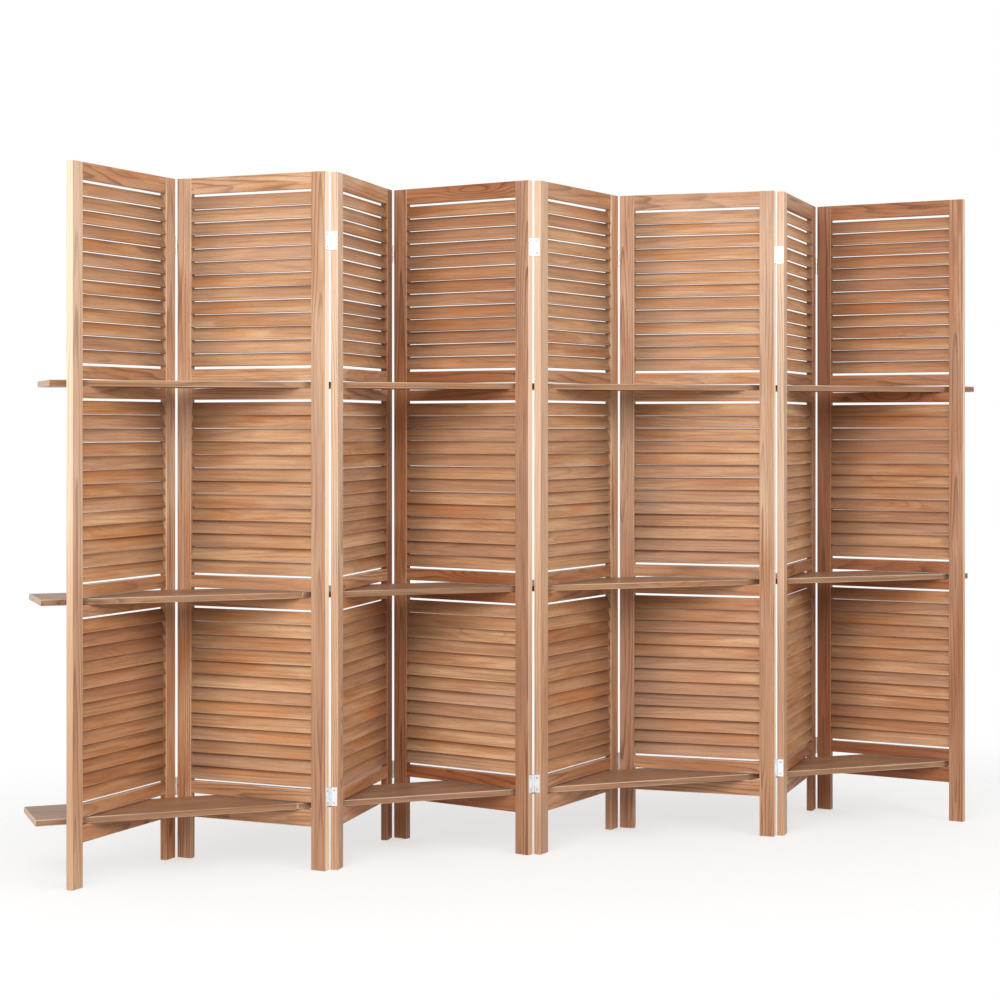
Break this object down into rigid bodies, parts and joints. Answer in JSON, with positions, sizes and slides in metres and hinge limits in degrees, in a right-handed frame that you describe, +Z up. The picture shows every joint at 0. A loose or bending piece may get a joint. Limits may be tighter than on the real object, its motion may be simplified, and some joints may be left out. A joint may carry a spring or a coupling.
{
  "type": "folding screen with shelves",
  "caption": "Folding room screen of louvred wooden panels hinged in a zigzag, with loose shelves lying through slots in the panels.",
  "frame": {"origin": "on the floor under the middle of the outline of the screen as it stands", "axes": "+X along the row of panels, to the right seen from the front; +Y to the back; +Z up"},
  "size_m": [2.555, 0.355, 1.7],
  "materials": {
    "frame_wood": "light brown stain, satin, open grain",
    "louvre_wood": "light brown stain, satin, fine grain along the slats",
    "shelf_wood": "light brown stain, satin, grain along the shelf",
    "hinge_steel": "bright zinc plated steel"
  },
  "bodies": {
    "hinge_3_4_pins": {"hinge_3_4_lower_pin": "hinge_steel", "hinge_3_4_upper_pin": "hinge_steel"},
    "panel_1": {"panel_1_frame": "frame_wood", "panel_1_louvres": "louvre_wood", "hinge_1_2_lower_outer_leaf": "hinge_steel", "hinge_1_2_upper_outer_leaf": "hinge_steel"},
    "panel_2": {"panel_2_frame": "frame_wood", "panel_2_louvres": "louvre_wood", "hinge_1_2_lower_inner_leaf": "hinge_steel", "hinge_1_2_upper_inner_leaf": "hinge_steel", "hinge_2_3_lower_outer_leaf": "hinge_steel", "hinge_2_3_upper_outer_leaf": "hinge_steel"},
    "panel_3": {"panel_3_frame": "frame_wood", "panel_3_louvres": "louvre_wood", "hinge_2_3_lower_inner_leaf": "hinge_steel", "hinge_2_3_upper_inner_leaf": "hinge_steel", "hinge_3_4_lower_outer_leaf": "hinge_steel", "hinge_3_4_upper_outer_leaf": "hinge_steel"},
    "panel_4": {"panel_4_frame": "frame_wood", "panel_4_louvres": "louvre_wood", "hinge_3_4_lower_inner_leaf": "hinge_steel", "hinge_3_4_upper_inner_leaf": "hinge_steel", "hinge_4_5_lower_outer_leaf": "hinge_steel", "hinge_4_5_upper_outer_leaf": "hinge_steel"},
    "panel_5": {"panel_5_frame": "frame_wood", "panel_5_louvres": "louvre_wood", "hinge_4_5_lower_inner_leaf": "hinge_steel", "hinge_4_5_upper_inner_leaf": "hinge_steel", "hinge_5_6_lower_outer_leaf": "hinge_steel", "hinge_5_6_upper_outer_leaf": "hinge_steel"},
    "panel_6": {"panel_6_frame": "frame_wood", "panel_6_louvres": "louvre_wood", "hinge_5_6_lower_inner_leaf": "hinge_steel", "hinge_5_6_upper_inner_leaf": "hinge_steel", "hinge_6_7_lower_outer_leaf": "hinge_steel", "hinge_6_7_upper_outer_leaf": "hinge_steel"},
    "panel_7": {"panel_7_frame": "frame_wood", "panel_7_louvres": "louvre_wood", "hinge_6_7_lower_inner_leaf": "hinge_steel", "hinge_6_7_upper_inner_leaf": "hinge_steel", "hinge_7_8_lower_outer_leaf": "hinge_steel", "hinge_7_8_upper_outer_leaf": "hinge_steel"},
    "panel_8": {"panel_8_frame": "frame_wood", "panel_8_louvres": "louvre_wood", "hinge_7_8_lower_inner_leaf": "hinge_steel", "hinge_7_8_upper_inner_leaf": "hinge_steel"},
    "shelf_bottom_1": {"shelf_bottom_1": "shelf_wood"},
    "shelf_bottom_2": {"shelf_bottom_2": "shelf_wood"},
    "shelf_bottom_3": {"shelf_bottom_3": "shelf_wood"},
    "shelf_bottom_4": {"shelf_bottom_4": "shelf_wood"},
    "shelf_middle_1": {"shelf_middle_1": "shelf_wood"},
    "shelf_middle_2": {"shelf_middle_2": "shelf_wood"},
    "shelf_middle_3": {"shelf_middle_3": "shelf_wood"},
    "shelf_middle_4": {"shelf_middle_4": "shelf_wood"},
    "shelf_top_1": {"shelf_top_1": "shelf_wood"},
    "shelf_top_2": {"shelf_top_2": "shelf_wood"},
    "shelf_top_3": {"shelf_top_3": "shelf_wood"},
    "shelf_top_4": {"shelf_top_4": "shelf_wood"}
  },
  "joints": [
    {"name": "fold", "type": "hinge", "parent": "hinge_3_4_pins", "child": "panel_4", "pos_m": [-0.30861, 0.16741, 0], "axis": [0, 0, -1], "range_deg": [0, 36]},
    {"name": "fold_panel_3", "type": "hinge", "parent": "hinge_3_4_pins", "child": "panel_3", "pos_m": [-0.30861, 0.16741, 0], "axis": [0, 0, 1], "range_deg": [0, 36]},
    {"name": "hinge_2_3", "type": "hinge", "parent": "panel_3", "child": "panel_2", "pos_m": [-0.57446, -0.16378, 0], "axis": [0, 0, -1], "range_deg": [0, 82]},
    {"name": "hinge_1_2", "type": "hinge", "parent": "panel_2", "child": "panel_1", "pos_m": [-0.89377, 0.11621, 0], "axis": [0, 0, 1], "range_deg": [0, 92]},
    {"name": "hinge_4_5", "type": "hinge", "parent": "panel_4", "child": "panel_5", "pos_m": [-0.04277, -0.16378, 0], "axis": [0, 0, 1], "range_deg": [0, 87.5]},
    {"name": "hinge_5_6", "type": "hinge", "parent": "panel_5", "child": "panel_6", "pos_m": [0.30191, 0.08432, 0], "axis": [0, 0, -1], "range_deg": [0, 103]},
    {"name": "hinge_6_7", "type": "hinge", "parent": "panel_6", "child": "panel_7", "pos_m": [0.64659, -0.16378, 0], "axis": [0, 0, 1], "range_deg": [0, 92]},
    {"name": "hinge_7_8", "type": "hinge", "parent": "panel_7", "child": "panel_8", "pos_m": [0.9376, 0.14553, 0], "axis": [0, 0, -1], "range_deg": [0, 81]},
    {"name": "slide_bottom_left", "type": "slide", "parent": "hinge_3_4_pins", "child": "shelf_bottom_2", "axis": [-1, 0, 0], "range_m": [0, 0.06]},
    {"name": "slide_bottom_left_outer", "type": "slide", "parent": "hinge_3_4_pins", "child": "shelf_bottom_1", "axis": [-1, 0, 0], "range_m": [0, 0.06]},
    {"name": "slide_bottom_right", "type": "slide", "parent": "hinge_3_4_pins", "child": "shelf_bottom_3", "axis": [1, 0, 0], "range_m": [0, 0.06]},
    {"name": "slide_bottom_right_outer", "type": "slide", "parent": "hinge_3_4_pins", "child": "shelf_bottom_4", "axis": [1, 0, 0], "range_m": [0, 0.06]},
    {"name": "slide_middle_left", "type": "slide", "parent": "hinge_3_4_pins", "child": "shelf_middle_2", "axis": [-1, 0, 0], "range_m": [0, 0.06]},
    {"name": "slide_middle_left_outer", "type": "slide", "parent": "hinge_3_4_pins", "child": "shelf_middle_1", "axis": [-1, 0, 0], "range_m": [0, 0.06]},
    {"name": "slide_middle_right", "type": "slide", "parent": "hinge_3_4_pins", "child": "shelf_middle_3", "axis": [1, 0, 0], "range_m": [0, 0.06]},
    {"name": "slide_middle_right_outer", "type": "slide", "parent": "hinge_3_4_pins", "child": "shelf_middle_4", "axis": [1, 0, 0], "range_m": [0, 0.06]},
    {"name": "slide_top_left", "type": "slide", "parent": "hinge_3_4_pins", "child": "shelf_top_2", "axis": [-1, 0, 0], "range_m": [0, 0.06]},
    {"name": "slide_top_left_outer", "type": "slide", "parent": "hinge_3_4_pins", "child": "shelf_top_1", "axis": [-1, 0, 0], "range_m": [0, 0.06]},
    {"name": "slide_top_right", "type": "slide", "parent": "hinge_3_4_pins", "child": "shelf_top_3", "axis": [1, 0, 0], "range_m": [0, 0.06]},
    {"name": "slide_top_right_outer", "type": "slide", "parent": "hinge_3_4_pins", "child": "shelf_top_4", "axis": [1, 0, 0], "range_m": [0, 0.06]}
  ],
  "couplings": [
    {"joint": "fold_panel_3", "follows": "fold", "ratio": 1},
    {"joint": "hinge_2_3", "follows": "fold", "ratio": 2.2778},
    {"joint": "hinge_1_2", "follows": "fold", "ratio": 2.5556},
    {"joint": "hinge_4_5", "follows": "fold", "ratio": 2.4306},
    {"joint": "hinge_5_6", "follows": "fold", "ratio": 2.8611},
    {"joint": "hinge_6_7", "follows": "fold", "ratio": 2.5556},
    {"joint": "hinge_7_8", "follows": "fold", "ratio": 2.25},
    {"joint": "slide_bottom_left_outer", "follows": "slide_bottom_left", "ratio": 1},
    {"joint": "slide_bottom_right_outer", "follows": "slide_bottom_right", "ratio": 1},
    {"joint": "slide_middle_left_outer", "follows": "slide_middle_left", "ratio": 1},
    {"joint": "slide_middle_right_outer", "follows": "slide_middle_right", "ratio": 1},
    {"joint": "slide_top_left_outer", "follows": "slide_top_left", "ratio": 1},
    {"joint": "slide_top_right_outer", "follows": "slide_top_right", "ratio": 1}
  ]
}
